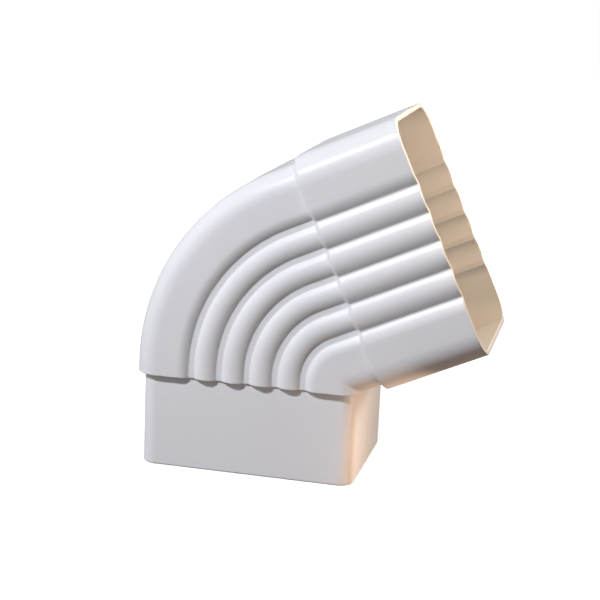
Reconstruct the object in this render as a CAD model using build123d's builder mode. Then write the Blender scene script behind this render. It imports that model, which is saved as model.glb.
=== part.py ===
"""Downpipe elbow: a moulded rain-pipe bend with a plain spigot below and a fluted socket above.

The frame: the spigot stands upright on the origin, with its end face at Z = 0. X runs across the
wide faces, towards the inside of the bend, and Y runs through the narrow depth of the pipe.
The wide faces lie at -Y and +Y, and the pipe turns towards +X as it climbs.
"""

import os
from math import cos, radians, sin, sqrt

from build123d import *

# Moulded wall, and the ledge that joins the body to the spigot
WALL = 1.7
LEDGE = 2.0

# The rain pipe that the elbow joins, and the play it has over the spigot and in the socket
PIPE_WALL = 2.0
SPIGOT_PLAY = 0.5
SOCKET_PLAY = 0.3

# Spigot, the plain end that slips into the pipe below
SPIGOT_WIDTH = 76.0
SPIGOT_DEPTH = 55.6
SPIGOT_HEIGHT = 33.0
SPIGOT_CORNER = 5.2
SPIGOT_LEAD = 0.6

# Body, the fluted bend, which lies flush with the pipe below it
BODY_CORNER = 7.7
BODY_RISE = 3.3
BEND_RADIUS = 36.3
BEND_ANGLE = 65.0
BODY_RUN = 9.4

# Socket, the wider straight end that takes the pipe above
SOCKET_RAMP = 1.4
SOCKET_LENGTH = 36.4

# Flutes, the grooves along both wide faces
FLUTE_COUNT = 5
FLUTE_PITCH = 9.87
FLUTE_DEPTH = 1.65
FLUTE_FLOOR = 2.0

# Channel inside the bend, behind each crest: the width of its flat
CHANNEL_FLAT = 2.4

# Sizes that follow from the ones above
BODY_OVERHANG = PIPE_WALL + SPIGOT_PLAY
BODY_WIDTH = SPIGOT_WIDTH + 2 * BODY_OVERHANG
BODY_DEPTH = SPIGOT_DEPTH + 2 * BODY_OVERHANG
SOCKET_STEP = WALL + SOCKET_PLAY
RIM_Z = SPIGOT_HEIGHT
BEND_Z = RIM_Z + BODY_RISE


def crest_radius(depth, floor):
    """Radius of the round crest between two flutes, from its chord and its height."""
    half_chord = (FLUTE_PITCH - floor) / 2
    return (half_chord**2 + depth**2) / (2 * depth)


def fluted_section(grow, corner, depth, radius):
    """Section of the pipe: a round-cornered oblong with flutes along both long sides.

    The oblong is the body's outside grown by one margin. Each flute has a flat floor, and the
    crests beside it are arcs of one radius, which also round off the two outer panels.
    """
    half_width = BODY_WIDTH / 2 + grow
    face = -(BODY_DEPTH / 2 + grow)
    floor = face + depth
    half_chord = sqrt(2 * radius * depth - depth**2)
    half_floor = FLUTE_PITCH / 2 - half_chord
    centres = [(i - (FLUTE_COUNT - 1) / 2) * FLUTE_PITCH for i in range(FLUTE_COUNT)]
    first = centres[0] - half_floor
    last = centres[-1] + half_floor
    with BuildSketch() as section:
        with BuildLine():
            Line((-half_width, 0), (-half_width, face))
            Line((-half_width, face), (first - half_chord, face))
            TangentArc((first - half_chord, face), (first, floor), tangent=(1, 0))
            for centre in centres:
                Line((centre - half_floor, floor), (centre + half_floor, floor))
            for centre in centres[:-1]:
                crest = centre + FLUTE_PITCH / 2
                ThreePointArc((crest - half_chord, floor), (crest, face), (crest + half_chord, floor))
            TangentArc((last + half_chord, face), (last, floor), tangent=(-1, 0))
            Line((last + half_chord, face), (half_width, face))
            Line((half_width, face), (half_width, 0))
            mirror(about=Plane.XZ)
        make_face()
        by_width = section.vertices().group_by(Axis.X)
        fillet([v for v in by_width[0] + by_width[-1] if v.Y != 0], corner)
    return section.sketch


def body_section():
    """The bend's outside."""
    return fluted_section(0, BODY_CORNER, FLUTE_DEPTH, crest_radius(FLUTE_DEPTH, FLUTE_FLOOR))


def channel_section():
    """The bend's inside: the oblong drawn in by the wall, with a straight-sided ridge behind each flute.

    A ridge is the inner half of a hexagon that is centred on the side of the oblong. Its tip is as
    far behind the floor of the flute as the wall is thick, and flat channels lie between the ridges.
    """
    half_tip = (FLUTE_FLOOR + WALL) / 2
    half_foot = (FLUTE_PITCH - CHANNEL_FLAT) / 2
    with BuildSketch() as section:
        RectangleRounded(BODY_WIDTH - 2 * WALL, BODY_DEPTH - 2 * WALL, BODY_CORNER - WALL)
        with GridLocations(FLUTE_PITCH, BODY_DEPTH - 2 * WALL, FLUTE_COUNT, 2):
            Polygon(
                (half_foot, 0),
                (half_tip, FLUTE_DEPTH),
                (-half_tip, FLUTE_DEPTH),
                (-half_foot, 0),
                (-half_tip, -FLUTE_DEPTH),
                (half_tip, -FLUTE_DEPTH),
                mode=Mode.SUBTRACT,
            )
    return section.sketch


def socket_section(inset=0.0):
    """The body's section moved out by the step of the socket, so its flutes nearly close, less an inset."""
    radius = crest_radius(FLUTE_DEPTH, FLUTE_FLOOR) + SOCKET_STEP - inset
    corner = BODY_CORNER + SOCKET_STEP - inset
    return fluted_section(SOCKET_STEP - inset, corner, FLUTE_DEPTH, radius)


# Planes across the pipe, each with its origin on the pipe's centre line
turn = radians(BEND_ANGLE)
rim_plane = Plane.XY.offset(RIM_Z)
bend_start = Plane.XY.offset(BEND_Z)
bend_axis = Axis((BEND_RADIUS, 0, BEND_Z), (0, 1, 0))
bend_end = Plane(
    origin=(BEND_RADIUS * (1 - cos(turn)), 0, BEND_Z + BEND_RADIUS * sin(turn)),
    x_dir=(cos(turn), 0, -sin(turn)),
    z_dir=(sin(turn), 0, cos(turn)),
)
ramp_start = bend_end.offset(BODY_RUN)
socket_start = ramp_start.offset(SOCKET_RAMP)


def fluted_bend(section, run, foot):
    """A section carried round the bend: a rise, the turn and a straight run, cut level at its foot.

    The turn is tighter than half the section, so the strip beyond its axis has no turn of its own:
    there the rise and the run meet in a mitre on the inside of the bend.
    """
    with BuildPart() as bend:
        with BuildSketch(rim_plane):
            add(section)
        extrude(amount=BODY_RISE)
        with BuildSketch(bend_start):
            add(section)
            with Locations((BEND_RADIUS, 0)):
                Rectangle(
                    BEND_RADIUS + BODY_WIDTH,
                    BODY_DEPTH,
                    align=(Align.MAX, Align.CENTER),
                    mode=Mode.INTERSECT,
                )
        revolve(axis=bend_axis, revolution_arc=BEND_ANGLE)
        with BuildSketch(bend_end):
            add(section)
        extrude(amount=run)
        split(bisect_by=Plane.XY.offset(foot), keep=Keep.TOP)
    return bend.part


# The waterway, which is cut from the moulding in one piece
with BuildPart() as waterway:
    add(fluted_bend(channel_section(), BODY_RUN + SOCKET_RAMP, RIM_Z + LEDGE))
    with BuildSketch(socket_start):
        add(socket_section(WALL))
    extrude(amount=SOCKET_LENGTH + WALL)
    with BuildSketch(Plane.XY.offset(-WALL)):
        RectangleRounded(SPIGOT_WIDTH - 2 * WALL, SPIGOT_DEPTH - 2 * WALL, SPIGOT_CORNER - WALL)
    extrude(amount=WALL + RIM_Z + LEDGE)

with BuildPart() as elbow:
    with BuildSketch(Plane.XY):
        RectangleRounded(SPIGOT_WIDTH, SPIGOT_DEPTH, SPIGOT_CORNER)
    extrude(amount=RIM_Z + LEDGE)
    chamfer(elbow.faces().sort_by(Axis.Z)[0].edges(), SPIGOT_LEAD)
    add(fluted_bend(body_section(), BODY_RUN, RIM_Z))
    with BuildSketch(ramp_start):
        add(body_section())
    with BuildSketch(socket_start):
        add(socket_section())
    loft(ruled=True)
    with BuildSketch(socket_start):
        add(socket_section())
    extrude(amount=SOCKET_LENGTH)
    add(waterway.part, mode=Mode.SUBTRACT)

elbow.part.label = "elbow"

os.makedirs("parts", exist_ok=True)
export_step(elbow.part, "parts/elbow.step")
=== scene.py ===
"""Dresses the downpipe elbow: one moulded vinyl piece, its finish, and the stage it is seen on.

The moulding is one closed skin. A section, a round-cornered oblong with flutes along both of its
long sides, is carried along the pipe: up the outside, over the rim of the mouth and back down the
waterway to where it began. All lengths are in metres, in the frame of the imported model.
"""

from math import cos, radians, sin, sqrt, tan

import bpy
import numpy as np
from bpy.props import FloatProperty, FloatVectorProperty, IntProperty, PointerProperty
from mathutils import Matrix, Vector


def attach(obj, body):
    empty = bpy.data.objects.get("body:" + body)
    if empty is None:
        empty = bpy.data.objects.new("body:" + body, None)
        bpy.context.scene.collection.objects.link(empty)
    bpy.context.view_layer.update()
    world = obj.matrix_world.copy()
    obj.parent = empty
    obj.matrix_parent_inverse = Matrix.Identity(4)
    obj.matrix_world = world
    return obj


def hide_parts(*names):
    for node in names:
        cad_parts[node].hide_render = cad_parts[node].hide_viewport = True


bl_info = {
    "name": "Downpipe elbow",
    "version": (1, 0, 0),
    "blender": (4, 5, 0),
    "location": "View3D > Sidebar > Downpipe",
    "description": "Moulds a fluted vinyl downpipe elbow and sets it on a pale stage",
    "category": "Object",
}

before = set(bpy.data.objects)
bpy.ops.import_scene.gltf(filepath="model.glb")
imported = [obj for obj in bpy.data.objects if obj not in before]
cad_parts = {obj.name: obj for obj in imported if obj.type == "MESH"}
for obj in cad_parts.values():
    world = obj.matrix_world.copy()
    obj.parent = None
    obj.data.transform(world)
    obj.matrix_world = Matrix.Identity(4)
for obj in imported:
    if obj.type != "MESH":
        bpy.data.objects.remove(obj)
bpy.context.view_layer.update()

MM = 0.001

# Shares of each stretch of the section at which a column of the skin stands. The end of a stretch
# is the start of the next one. Columns crowd at the ends of flats, where a curve begins, and round
# the middle of the narrow sides, where the mould's parting line runs.
SIDE_SHARES = np.array([0, 0.004, 0.008, 0.012, 0.018, 0.03, 0.3, 0.65, 0.96])
CORNER_SHARES = np.linspace(0, 1, 12)[:-1]
PANEL_SHARES = np.array([0, 0.03, 0.07, 0.12, 0.18, 0.25, 0.35, 0.5, 0.7, 0.95])
EDGE_SHARES = np.array([0, 0.1, 0.22, 0.36, 0.5, 0.65, 0.8, 0.94])
FLOOR_SHARES = np.array([0, 0.12, 0.5, 0.88])
CREST_SHARES = np.concatenate(([0, 0.03], np.linspace(0.09, 0.91, 11), [0.97]))

# Shares of a quarter round, and of the stretches along the pipe, at which a ring of the skin lies
ROUND_SHARES = np.linspace(0, 1, 5)
RISE_SHARES = np.array([0.1, 0.5, 0.9])
TURN_SHARES = np.linspace(0, 1, 57)
RUN_SHARES = np.array([0.03, 0.3, 0.65, 0.93])
RAMP_SHARES = np.linspace(0, 1, 13)

# How softly the inner bend's tight radius takes over, as a share of that radius
TIGHT_BLEND = 0.25

# The vinyl: scale and detail of the noises for its clouds, gloss and peel, how far its roughness
# wanders, its index of refraction and the strength of its gloss
CLOUD_NOISE = (45.0, 3.0)
SHEEN_NOISE = (160.0, 2.0)
PEEL_NOISE = (700.0, 2.0)
SHEEN_SPREAD = 0.08
VINYL_IOR = 1.53
VINYL_GLOSS = 0.16

# The floor: half of its side, its colour to the eye and to bounced light, how strongly it glows near
# the elbow, and the distances between which that grows to full white
FLOOR_HALF = 8.0
FLOOR_MATTE = (0.7, 0.7, 0.7)
FLOOR_DULL = (0.11, 0.085, 0.065)
GLOW_NEAR = 0.75
GLOW_START = 0.05
GLOW_END = 0.35

# The surround's colour, and the share of it and of the floor that shows in the gloss of the vinyl
WHITE = (1.0, 1.0, 1.0)
GLOSS_WHITE = 0.3

# The camera's place, its own right, up and back directions, its sensor in millimetres and near limit
CAMERA_PLACE = (0.1289, -0.5254, 0.1844)
CAMERA_RIGHT = (0.97254, 0.22859, 0.04344)
CAMERA_UP = (-0.09369, 0.21383, 0.97237)
CAMERA_BACK = (0.21299, -0.94975, 0.22938)
CAMERA_SENSOR = 36.0
CAMERA_NEAR = 0.01

# Points that the lamps look at
ELBOW_MIDDLE = (0.02, 0.0, 0.06)
SPIGOT_FOOT = (0.0626, -0.0167, 0.0)
MOUTH_MIDDLE = (0.075, 0.0, 0.095)

# The lamps: name, lit point, azimuth and elevation in degrees, distance and side of the square
LAMPS = (
    ("key", ELBOW_MIDDLE, -36, 40, 0.8, 0.07),
    ("left", ELBOW_MIDDLE, -70, 15, 1.0, 0.4),
    ("front", ELBOW_MIDDLE, -10, 12, 1.0, 0.6),
    ("top", ELBOW_MIDDLE, 180, 65, 1.0, 0.6),
    ("side", SPIGOT_FOOT, 51, 36, 0.034, 0.02),
    ("mouth", MOUTH_MIDDLE, 59, 50, 0.085, 0.03),
    ("rear", ELBOW_MIDDLE, 148, 17, 1.0, 0.15),
)


def length(name, description, default):
    """A property for one of the elbow's lengths, given in millimetres."""
    return FloatProperty(
        name=name, description=description, default=default * MM, min=0.0, precision=5, unit="LENGTH"
    )


class DownpipeSizes(bpy.types.PropertyGroup):
    """Sizes of the moulding."""

    wall: length("Wall", "Thickness of the moulded wall", 1.7)
    ledge: length("Ledge", "Thickness of the ledge that joins the body to the spigot", 2.0)
    spigot_width: length("Spigot width", "Width of the plain end, across the wide faces", 76.0)
    spigot_depth: length("Spigot depth", "Depth of the plain end, front to back", 55.6)
    spigot_height: length("Spigot height", "Height of the plain end, up to the ledge", 33.0)
    spigot_corner: length("Spigot corner", "Radius of the plain end's upright corners", 5.2)
    spigot_lead: length("Spigot lead", "Rounding of the plain end's lower edge", 0.6)
    overhang: length("Overhang", "How far the body stands out from the spigot", 2.5)
    body_corner: length("Body corner", "Radius of the corners of the bend", 7.7)
    corner_ease: length("Corner ease", "How gently the wide faces run into the corners", 1.0)
    body_rise: length("Body rise", "Upright stretch of the body before it turns", 3.3)
    bend_radius: length("Bend radius", "Radius of the bend at the middle of the pipe", 36.3)
    bend_tight: length("Inner bend", "Smallest radius on the inside of the bend", 0.9)
    body_run: length("Body run", "Straight stretch of the body after it turns", 9.4)
    socket_step: length("Socket step", "How far the socket stands out from the body", 2.0)
    socket_ramp: length("Socket ramp", "Length of the slope between body and socket", 1.4)
    socket_length: length("Socket length", "Length of the socket up to its mouth", 36.4)
    flute_pitch: length("Flute pitch", "Distance from one flute to the next", 9.87)
    flute_depth: length("Flute depth", "Depth of the flutes of the bend", 1.65)
    flute_floor: length("Flute floor", "Width of the flat floor of a flute in the bend", 2.0)
    edge_round: length("Edge round", "Rounding of the ledge's edge and of the mouth's rim", 0.3)
    parting_height: length("Parting height", "Height of the mould's parting line", 0.14)
    parting_width: length("Parting width", "Width of the mould's parting line", 0.3)
    bend_angle: FloatProperty(
        name="Bend angle",
        description="Angle that the pipe turns through",
        default=radians(65.0),
        subtype="ANGLE",
    )
    flute_count: IntProperty(
        name="Flutes", description="Number of flutes on each wide face", default=5, min=2
    )


class DownpipeFinish(bpy.types.PropertyGroup):
    """Colour and gloss of the vinyl."""

    vinyl_colour: FloatVectorProperty(
        name="Vinyl", description="Colour of the vinyl", subtype="COLOR", default=(0.84, 0.84, 0.84)
    )
    mottle_colour: FloatVectorProperty(
        name="Mottle",
        description="Colour of the faint clouds in the vinyl",
        subtype="COLOR",
        default=(0.80, 0.80, 0.80),
    )
    roughness: FloatProperty(
        name="Roughness", description="Roughness of the skin", default=0.32, subtype="FACTOR"
    )
    peel_depth: FloatProperty(
        name="Peel", description="Depth of the skin's fine unevenness", default=0.003 * MM, unit="LENGTH"
    )


def lamp_power(name, lamp, default):
    """A property for the power of one lamp, in watts."""
    return FloatProperty(
        name=name, description="Power of " + lamp, default=default, min=0.0, subtype="POWER"
    )


def lamp_colour(name, lamp, default):
    """A property for the colour of one lamp."""
    return FloatVectorProperty(
        name=name + " colour", description="Colour of " + lamp, default=default, subtype="COLOR"
    )


class DownpipeStage(bpy.types.PropertyGroup):
    """Power and colour of the lamps, and the camera's lens."""

    key_power: lamp_power("Key", "the small lamp at the upper left", 5.4)
    key_colour: lamp_colour("Key", "the small lamp at the upper left", (0.91, 0.925, 1.0))
    left_power: lamp_power("Left", "the broad lamp on the left", 1.2)
    left_colour: lamp_colour("Left", "the broad lamp on the left", (0.92, 0.95, 1.0))
    front_power: lamp_power("Front", "the broad lamp in front", 1.3)
    front_colour: lamp_colour("Front", "the broad lamp in front", (0.92, 0.94, 1.0))
    top_power: lamp_power("Top", "the broad lamp overhead", 1.0)
    top_colour: lamp_colour("Top", "the broad lamp overhead", (0.93, 1.0, 1.0))
    side_power: lamp_power("Side", "the small warm lamp beside the spigot", 0.0255)
    side_colour: lamp_colour("Side", "the small warm lamp beside the spigot", (1.0, 0.68, 0.48))
    mouth_power: lamp_power("Mouth", "the small warm lamp before the mouth", 0.095)
    mouth_colour: lamp_colour("Mouth", "the small warm lamp before the mouth", (1.0, 0.7, 0.44))
    rear_power: lamp_power("Rear", "the faintly warm lamp behind on the right", 6.5)
    rear_colour: lamp_colour("Rear", "the faintly warm lamp behind on the right", (1.0, 0.94, 0.88))
    lens: FloatProperty(
        name="Lens", description="Focal length of the camera, in millimetres", default=93.48
    )


def narrow_side(half_width, half_depth, corner):
    """Columns of half a narrow side, from its middle to the corner, and of the quarter-round corner.

    The side lies at minus the half width. The corner's columns are its centre less the radius times
    (cos a, sin a), for angles a up to a quarter turn.
    """
    side_y = -SIDE_SHARES * (half_depth - corner)
    side = np.stack((np.full(len(SIDE_SHARES), -half_width), side_y), axis=1)
    angle = CORNER_SHARES * np.pi / 2
    bend_x = np.cos(angle) * -corner - (half_width - corner)
    bend_y = np.sin(angle) * -corner + corner - half_depth
    return np.concatenate((side, np.stack((bend_x, bend_y), axis=1)))


def half_loop(left, long_side):
    """Half of a section: the left narrow side and corner, a long side, and the left mirrored."""
    return np.concatenate((left, long_side, left[::-1][:-1] * (-1, 1)))


def fluted_outline(sizes, outset):
    """Columns of the pipe's section, as a closed loop of points, counted from the outer narrow side.

    The loop is the oblong of the bend with quarter-round corners, moved out by the outset. On its long
    sides the skin drops by r - sqrt(r*r - e*e), where r is the radius of the crests and e is the
    distance from the middle of the nearest crest, and by the depth of the flutes over their floors.
    The outer panels are flat up to their last crest. The second half of the loop is the first one
    turned by half a turn.
    """
    depth = sizes.flute_depth
    half_pitch = sizes.flute_pitch / 2
    body_chord = half_pitch - sizes.flute_floor / 2
    crest = (body_chord**2 + depth**2) / (2 * depth) + outset
    half_chord = sqrt(2 * crest * depth - depth**2)
    half_floor = half_pitch - half_chord
    half_width = sizes.spigot_width / 2 + sizes.overhang - sizes.parting_height + outset
    half_depth = sizes.spigot_depth / 2 + sizes.overhang + outset
    corner = sizes.body_corner + outset

    # Places along the long side where one stretch ends and the next begins
    centres = (np.arange(sizes.flute_count) - (sizes.flute_count - 1) / 2) * sizes.flute_pitch
    floors = np.stack((centres - half_floor, centres + half_floor), axis=1).ravel()
    start = half_width - corner
    first = centres[0] - half_pitch
    knots = np.concatenate(([-start, first], floors, [-first, start]))
    inner = [FLOOR_SHARES, CREST_SHARES] * sizes.flute_count
    last_edge = np.concatenate(([0], 1 - EDGE_SHARES[:0:-1]))
    last_panel = 1 - PANEL_SHARES[::-1]
    shares = [PANEL_SHARES, EDGE_SHARES] + inner[:-1] + [last_edge, last_panel]
    places = np.concatenate([i + share for i, share in enumerate(shares)])
    across = np.interp(places, np.arange(len(knots)), knots)
    nearest = np.abs(across[:, None] - centres[None, :]).min(axis=1)
    reach = np.clip(half_pitch - nearest, 0, half_chord)
    drop = crest - np.sqrt(crest**2 - reach**2)
    long_side = np.stack((across, drop - half_depth), axis=1)

    left = narrow_side(half_width, half_depth, corner)
    half = eased(half_loop(left, long_side), start, corner, sizes.corner_ease)
    return np.concatenate((half, -half))


def eased(half, start, corner, ease):
    """Lets the long side run gently into its corners, so that light rolls off there.

    With e the distance past the end of the flat, the round's drop r - sqrt(r*r - e*e) is taken at
    (e + sqrt(e*e + ease*ease)) / 2 in its place, fading out by 1 - (e/r)*(e/r) towards the narrow side.
    """
    past = np.abs(half[:, 0]) - start
    soft = np.minimum((past + np.sqrt(past**2 + ease**2)) / 2, corner)
    hard = np.clip(past, 0, corner)
    extra = np.sqrt(corner**2 - hard**2) - np.sqrt(corner**2 - soft**2)
    moved = half.copy()
    moved[:, 1] += extra * (1 - (hard / corner) ** 2)
    return moved


def with_parting(sizes, loop, inset):
    """Raises the parting line: a bell of the parting's height and width over the narrow sides' middles.

    The inside of the wall, at an inset of one wall or more, has none.
    """
    if inset >= sizes.wall:
        return loop
    bell = sizes.parting_height * np.exp(-((loop[:, 1] / sizes.parting_width) ** 2))
    raised = loop.copy()
    raised[:, 0] += np.sign(loop[:, 0]) * bell
    return raised


def body_outline(sizes, inset=0.0):
    """The section of the bend, drawn in by an inset. The parting line reaches the full width."""
    return with_parting(sizes, fluted_outline(sizes, -inset), inset)


def socket_outline(sizes, inset=0.0):
    """The section of the socket, the bend's moved out by the step, drawn in by an inset."""
    return with_parting(sizes, fluted_outline(sizes, sizes.socket_step - inset), inset)


def spigot_outline(sizes, inset=0.0):
    """The plain oblong of the spigot, with the body's columns moved onto it.

    Those of the corners and narrow sides keep their place in them, and those of the long sides are
    spread over the flats.
    """
    body = body_outline(sizes)
    half_width = sizes.spigot_width / 2 - inset
    half_depth = sizes.spigot_depth / 2 - inset
    corner = sizes.spigot_corner - inset
    left = narrow_side(half_width, half_depth, corner)
    half_count = len(body) // 2
    across = body[len(left) : half_count - len(left) + 1, 0]
    across = across * ((half_width - corner) / -across[0])
    long_side = np.stack((across, np.full(len(across), -half_depth)), axis=1)
    half = half_loop(left, long_side)
    return with_parting(sizes, np.concatenate((half, -half)), inset)


def level_ring(loop, height):
    """A loop laid level at one height."""
    return np.column_stack((loop, np.broadcast_to(height, len(loop))))


def slanted_ring(sizes, loop, onward):
    """A loop laid square across the pipe past its turn, by a distance from the end of the turn."""
    turn = sizes.bend_angle
    bend_z = sizes.spigot_height + sizes.body_rise
    across, depth = loop.T
    onward = np.broadcast_to(onward, len(loop))
    east = sizes.bend_radius * (1 - cos(turn)) + across * cos(turn) + onward * sin(turn)
    up = bend_z + sizes.bend_radius * sin(turn) - across * sin(turn) + onward * cos(turn)
    return np.column_stack((east, depth, up))


def bend_rings(sizes, loop, foot, run, tight, turn_shares):
    """The wall of the bend, from its foot to the end of its run, as a list of rings.

    Each column of the loop is a line that goes straight up, turns on an arc and goes straight on.
    The arc's radius is the column's distance from the bend's axis, and is never under the tight
    radius: inside that, the centre moves out along the mitre of the two straights, by the missing
    radius times (1, -tan of half the turn), so the two straights stay where they are.
    """
    turn = sizes.bend_angle
    slope = tan(turn / 2)
    across, depth = loop.T
    radius = sizes.bend_radius - across
    soft = TIGHT_BLEND * tight
    arc = (radius + tight + np.sqrt((radius - tight) ** 2 + soft**2)) / 2
    moved = arc - radius
    centre_x = sizes.bend_radius + moved
    centre_z = sizes.spigot_height + sizes.body_rise - moved * slope
    foot = np.minimum(foot, centre_z)
    rise = [level_ring(loop, foot + (centre_z - foot) * share) for share in RISE_SHARES]
    angles = turn_shares * turn
    turned = [
        np.column_stack((centre_x - arc * cos(a), depth, centre_z + arc * sin(a))) for a in angles
    ]
    begun = moved * slope
    straight = [slanted_ring(sizes, loop, begun + (run - begun) * share) for share in RUN_SHARES]
    return rise + turned + straight


def eased_ramp(onward, run, ease):
    """How far a slope of one run has risen, from 0 to 1, with both of its ends rounded.

    It is the mean of the straight slope clip(x / run, 0, 1) from x - ease to x + ease. The slope's
    own sum up to x is half the square of the clipped x over the run, plus the distance past its end.
    """
    ends = np.array((onward - ease, onward + ease))
    held = np.clip(ends, 0, run)
    summed = held**2 / (2 * run) + np.maximum(ends - run, 0)
    return (summed[1] - summed[0]) / (2 * ease)


def quarter_round(radius):
    """Steps of a quarter round: how far each one has come one way, and has to go the other way.

    At an angle a from the start these are the radius times 1 - cos a and 1 - sin a.
    """
    angles = ROUND_SHARES * np.pi / 2
    return [(radius * (1 - cos(a)), radius * (1 - sin(a))) for a in angles]


def moulding_rings(sizes):
    """All rings of the closed skin, from the spigot's lower edge up the outside and down the inside."""
    edge = sizes.edge_round
    lead = sizes.spigot_lead
    rim = sizes.spigot_height
    wall = sizes.wall
    edge_steps = quarter_round(edge)
    rings = []

    # The lower edge of the spigot: a small round inside, the flat end and the lead outside
    for come, to_go in edge_steps:
        rings.append(level_ring(spigot_outline(sizes, wall - come), to_go))
    for come, to_go in quarter_round(lead):
        rings.append(level_ring(spigot_outline(sizes, to_go), come))

    # The spigot's wall and the underside of the ledge, with a small round in the corner between them
    spigot = spigot_outline(sizes)
    for height in (lead + edge, 0.5 * rim, rim - 2 * edge):
        rings.append(level_ring(spigot, height))
    for come, to_go in edge_steps:
        rings.append(level_ring(spigot_outline(sizes, -come), rim - to_go))
    ledge = body_outline(sizes, edge)
    rings.append(level_ring(0.5 * (spigot_outline(sizes, -edge) + ledge), rim))
    for come, to_go in edge_steps:
        rings.append(level_ring(body_outline(sizes, to_go), rim + come))

    # The outside of the bend, the slope up to the socket and the socket
    body = body_outline(sizes)
    socket = socket_outline(sizes)
    rings += bend_rings(sizes, body, rim + edge, sizes.body_run, sizes.bend_tight, TURN_SHARES)
    for share in RAMP_SHARES:
        onward = -edge + (sizes.socket_ramp + 2 * edge) * share
        loop = body + (socket - body) * eased_ramp(onward, sizes.socket_ramp, edge)
        rings.append(slanted_ring(sizes, loop, sizes.body_run + onward))
    ramp_end = sizes.body_run + sizes.socket_ramp
    mouth = ramp_end + sizes.socket_length
    for onward in (ramp_end + 2 * edge, 0.5 * (ramp_end + mouth), mouth - 2 * edge):
        rings.append(slanted_ring(sizes, socket, onward))

    # The rim of the mouth, rounded on both sides
    for come, to_go in edge_steps:
        rings.append(slanted_ring(sizes, socket_outline(sizes, come), mouth - to_go))
    for come, to_go in edge_steps:
        rings.append(slanted_ring(sizes, socket_outline(sizes, wall - to_go), mouth - come))

    # The inside of the socket, down to the step that stops the pipe
    inside = socket_outline(sizes, wall)
    for onward in (mouth - 2 * edge, 0.5 * (ramp_end + mouth), ramp_end + 2 * edge):
        rings.append(slanted_ring(sizes, inside, onward))
    for come, to_go in edge_steps:
        rings.append(slanted_ring(sizes, socket_outline(sizes, wall + come), ramp_end + to_go))
    for come, to_go in edge_steps:
        rings.append(slanted_ring(sizes, body_outline(sizes, wall - to_go), ramp_end - come))

    # The waterway round the bend, the top of the ledge and the bore of the spigot
    shelf = rim + sizes.ledge
    tight = sizes.bend_tight + wall
    waterway = body_outline(sizes, wall)
    rings += bend_rings(sizes, waterway, shelf, ramp_end - edge, tight, TURN_SHARES[::2])[::-1]
    bore = spigot_outline(sizes, wall)
    low_shelf = np.minimum(shelf, rings[-1][:, 2])
    rings.append(level_ring(0.5 * (waterway + bore), low_shelf))
    for height in (shelf - edge, 0.5 * rim, 2 * edge):
        rings.append(level_ring(bore, np.minimum(height, low_shelf)))
    return np.stack(rings)


def skin_mesh(name, rings):
    """A mesh from a grid of rings and columns that closes on itself both ways, facing outwards.

    The four corners of a face are ring i and i + 1 and column j and j + 1, counted round.
    """
    ring_count, column_count, _ = rings.shape
    index = np.arange(ring_count * column_count).reshape(ring_count, column_count)
    beside = np.roll(index, -1, axis=1)
    faces = np.stack((index, beside, np.roll(beside, -1, axis=0), np.roll(index, -1, axis=0)), axis=-1)
    corners = faces.reshape(-1).astype(np.int32)
    mesh = bpy.data.meshes.new(name)
    mesh.vertices.add(ring_count * column_count)
    mesh.vertices.foreach_set("co", rings.reshape(-1).astype(np.float32))
    mesh.loops.add(len(corners))
    mesh.loops.foreach_set("vertex_index", corners)
    mesh.polygons.add(len(corners) // 4)
    mesh.polygons.foreach_set("loop_start", np.arange(0, len(corners), 4, dtype=np.int32))
    mesh.polygons.foreach_set("use_smooth", np.ones(len(corners) // 4, dtype=bool))
    mesh.update(calc_edges=True)
    mesh.validate()
    return mesh


class Socket:
    """A node's output, on which Python's operators stand for Math nodes."""

    def __init__(self, tree, source=None):
        self.tree = tree
        self.source = source

    def node(self, kind, settings=None, sockets=None, output=0):
        """Adds a node of one type: its settings first, then the values or links of its sockets."""
        made = self.tree.nodes.new(kind)
        for key, value in (settings or {}).items():
            setattr(made, key, value)
        for key, value in (sockets or {}).items():
            if isinstance(value, Socket):
                self.tree.links.new(value.source, made.inputs[key])
            else:
                made.inputs[key].default_value = value
        return Socket(self.tree, made.outputs[output] if made.outputs else None)

    def math(self, operation, left, right):
        """Adds a Math node on two values or sockets."""
        return self.node("ShaderNodeMath", {"operation": operation}, {0: left, 1: right})

    def __add__(self, other):
        return self.math("ADD", self, other)

    def __radd__(self, other):
        return self.math("ADD", other, self)

    def __mul__(self, other):
        return self.math("MULTIPLY", self, other)

    def __rmul__(self, other):
        return self.math("MULTIPLY", other, self)


def new_material(name):
    """An empty node material, and a socket to grow its nodes from."""
    material = bpy.data.materials.new(name)
    material.use_nodes = True
    material.node_tree.nodes.clear()
    return material, Socket(material.node_tree)


def colour(values):
    """A colour property with full alpha, as a shader socket takes it."""
    return (*values, 1.0)


def vinyl_material(finish):
    """Moulded white vinyl: faint clouds in its colour, gloss that wanders a little and a fine peel."""
    material, tree = new_material("white_vinyl")
    place = tree.node("ShaderNodeTexCoord", output="Object")
    clouds, sheen, peel = (
        tree.node("ShaderNodeTexNoise", {}, {"Vector": place, "Scale": scale, "Detail": detail})
        for scale, detail in (CLOUD_NOISE, SHEEN_NOISE, PEEL_NOISE)
    )
    tint = tree.node(
        "ShaderNodeMix",
        {"data_type": "RGBA"},
        {"Factor": clouds, 6: colour(finish.vinyl_colour), 7: colour(finish.mottle_colour)},
        output=2,
    )
    roughness = finish.roughness - SHEEN_SPREAD / 2 + sheen * SHEEN_SPREAD
    relief = tree.node(
        "ShaderNodeBump", {}, {"Height": peel, "Strength": 1.0, "Distance": finish.peel_depth}
    )
    skin = tree.node(
        "ShaderNodeBsdfPrincipled",
        {},
        {
            "Base Color": tint,
            "Roughness": roughness,
            "Normal": relief,
            "IOR": VINYL_IOR,
            "Specular IOR Level": VINYL_GLOSS,
        },
    )
    tree.node("ShaderNodeOutputMaterial", {}, {"Surface": skin})
    return material


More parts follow.
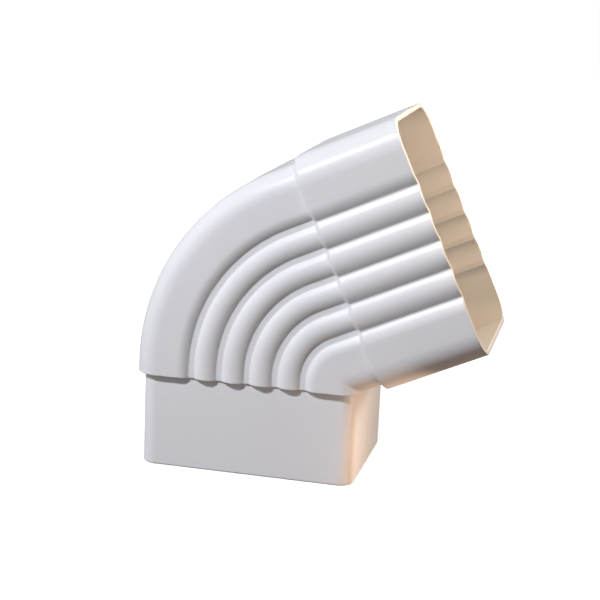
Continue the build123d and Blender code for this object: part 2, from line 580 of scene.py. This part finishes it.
class DOWNPIPE_OT_mould_elbow(bpy.types.Operator):
    """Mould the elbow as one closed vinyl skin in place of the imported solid"""

    bl_idname = "downpipe.mould_elbow"
    bl_label = "Mould elbow"

    def execute(self, context):
        rings = moulding_rings(context.scene.downpipe_sizes)
        moulding = bpy.data.objects.new("moulding", skin_mesh("moulding", rings))
        context.scene.collection.objects.link(moulding)
        moulding.data.materials.append(vinyl_material(context.scene.downpipe_finish))
        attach(moulding, "root")
        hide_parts("elbow")
        return {"FINISHED"}


def seen_directly(tree):
    """1 for camera and transmission rays, a share for glossy ones, and 0 for bounced light."""
    camera = tree.node("ShaderNodeLightPath", output="Is Camera Ray")
    glossy = tree.node("ShaderNodeLightPath", output="Is Glossy Ray")
    through = tree.node("ShaderNodeLightPath", output="Is Transmission Ray")
    return tree.math("MINIMUM", camera + glossy * GLOSS_WHITE + through, 1.0)


def floor_material():
    """A white floor for the eye, and a dull one for the light it sends back.

    To the eye it glows white, a little less so near the elbow, where the lamps make it white again
    and the shadow shows.
    """
    material, tree = new_material("pale_floor")
    place = tree.node("ShaderNodeTexCoord", output="Object")
    away = tree.node("ShaderNodeVectorMath", {"operation": "LENGTH"}, {0: place}, output="Value")
    white = tree.node(
        "ShaderNodeMapRange",
        {"interpolation_type": "SMOOTHSTEP"},
        {
            "Value": away,
            "From Min": GLOW_START,
            "From Max": GLOW_END,
            "To Min": GLOW_NEAR,
            "To Max": 1.0,
        },
    )
    glow = tree.node("ShaderNodeEmission", {}, {"Color": white, "Strength": 1.0})
    matte = tree.node("ShaderNodeBsdfDiffuse", {}, {"Color": colour(FLOOR_MATTE)})
    bright = tree.node("ShaderNodeAddShader", {}, {0: glow, 1: matte})
    dull = tree.node("ShaderNodeBsdfDiffuse", {}, {"Color": colour(FLOOR_DULL)})
    mixed = tree.node("ShaderNodeMixShader", {}, {"Fac": seen_directly(tree), 1: dull, 2: bright})
    tree.node("ShaderNodeOutputMaterial", {}, {"Surface": mixed})
    return material


def add_floor(collection):
    """A level square under the elbow."""
    half = FLOOR_HALF
    corners = [(-half, -half, 0), (half, -half, 0), (half, half, 0), (-half, half, 0)]
    mesh = bpy.data.meshes.new("floor")
    mesh.from_pydata(corners, [], [(0, 1, 2, 3)])
    mesh.materials.append(floor_material())
    floor = bpy.data.objects.new("floor", mesh)
    collection.objects.link(floor)


def add_lamp(collection, name, lit_point, azimuth, elevation, distance, size, power, tone):
    """A square lamp at a distance from the point that it looks at.

    The azimuth is counted from the front towards the right, and the elevation from the level.
    """
    around = radians(azimuth)
    height = radians(elevation)
    towards = Vector((sin(around) * cos(height), -cos(around) * cos(height), sin(height)))
    lamp = bpy.data.lights.new(name, "AREA")
    lamp.shape = "SQUARE"
    lamp.size = size
    lamp.energy = power
    lamp.color = tone
    item = bpy.data.objects.new(name, lamp)
    item.location = Vector(lit_point) + towards * distance
    item.rotation_euler = towards.to_track_quat("Z", "Y").to_euler()
    item.visible_camera = False
    collection.objects.link(item)


def add_world(scene):
    """A surround that is white to the eye and faintly so in gloss, and lights nothing else."""
    world = bpy.data.worlds.new("studio")
    world.use_nodes = True
    world.node_tree.nodes.clear()
    tree = Socket(world.node_tree)
    dark = tree.node("ShaderNodeBackground", {}, {"Color": colour(WHITE), "Strength": 0.0})
    white = tree.node("ShaderNodeBackground", {}, {"Color": colour(WHITE), "Strength": 1.0})
    mixed = tree.node("ShaderNodeMixShader", {}, {"Fac": seen_directly(tree), 1: dark, 2: white})
    tree.node("ShaderNodeOutputWorld", {}, {"Surface": mixed})
    scene.world = world


def add_camera(scene, lens):
    """The camera, by its place and its own right, up and back directions."""
    camera = bpy.data.cameras.new("camera")
    camera.lens = lens
    camera.sensor_width = CAMERA_SENSOR
    camera.clip_start = CAMERA_NEAR
    item = bpy.data.objects.new("camera", camera)
    turned = Matrix((CAMERA_RIGHT, CAMERA_UP, CAMERA_BACK)).transposed()
    item.location = CAMERA_PLACE
    item.rotation_euler = turned.to_euler()
    scene.collection.objects.link(item)
    scene.camera = item


class DOWNPIPE_OT_set_stage(bpy.types.Operator):
    """Set the pale floor, the lamps, the white surround and the camera"""

    bl_idname = "downpipe.set_stage"
    bl_label = "Set stage"

    def execute(self, context):
        scene = context.scene
        settings = scene.downpipe_stage
        collection = scene.collection
        scene.view_settings.view_transform = "Standard"
        add_floor(collection)
        for name, lit_point, azimuth, elevation, distance, size in LAMPS:
            power = getattr(settings, name + "_power")
            tone = getattr(settings, name + "_colour")
            add_lamp(collection, name, lit_point, azimuth, elevation, distance, size, power, tone)
        add_world(scene)
        add_camera(scene, settings.lens)
        return {"FINISHED"}


class DOWNPIPE_PT_panel(bpy.types.Panel):
    """The elbow's sizes, finish and stage in the sidebar"""

    bl_idname = "DOWNPIPE_PT_panel"
    bl_label = "Downpipe elbow"
    bl_space_type = "VIEW_3D"
    bl_region_type = "UI"
    bl_category = "Downpipe"

    def draw(self, context):
        layout = self.layout
        for title, group, operator in PANEL_ROWS:
            settings = getattr(context.scene, group)
            column = layout.column(align=True)
            column.label(text=title)
            for name in settings.__annotations__:
                column.prop(settings, name)
            if operator:
                layout.operator(operator)


PANEL_ROWS = (
    ("Sizes", "downpipe_sizes", ""),
    ("Finish", "downpipe_finish", DOWNPIPE_OT_mould_elbow.bl_idname),
    ("Stage", "downpipe_stage", DOWNPIPE_OT_set_stage.bl_idname),
)

CLASSES = (
    DownpipeSizes,
    DownpipeFinish,
    DownpipeStage,
    DOWNPIPE_OT_mould_elbow,
    DOWNPIPE_OT_set_stage,
    DOWNPIPE_PT_panel,
)


def register():
    for cls in CLASSES:
        bpy.utils.register_class(cls)
    bpy.types.Scene.downpipe_sizes = PointerProperty(type=DownpipeSizes)
    bpy.types.Scene.downpipe_finish = PointerProperty(type=DownpipeFinish)
    bpy.types.Scene.downpipe_stage = PointerProperty(type=DownpipeStage)


def unregister():
    del bpy.types.Scene.downpipe_stage
    del bpy.types.Scene.downpipe_finish
    del bpy.types.Scene.downpipe_sizes
    for cls in reversed(CLASSES):
        bpy.utils.unregister_class(cls)


def main():
    register()
    bpy.ops.downpipe.mould_elbow()
    bpy.ops.downpipe.set_stage()


if __name__ == "__main__":
    main()
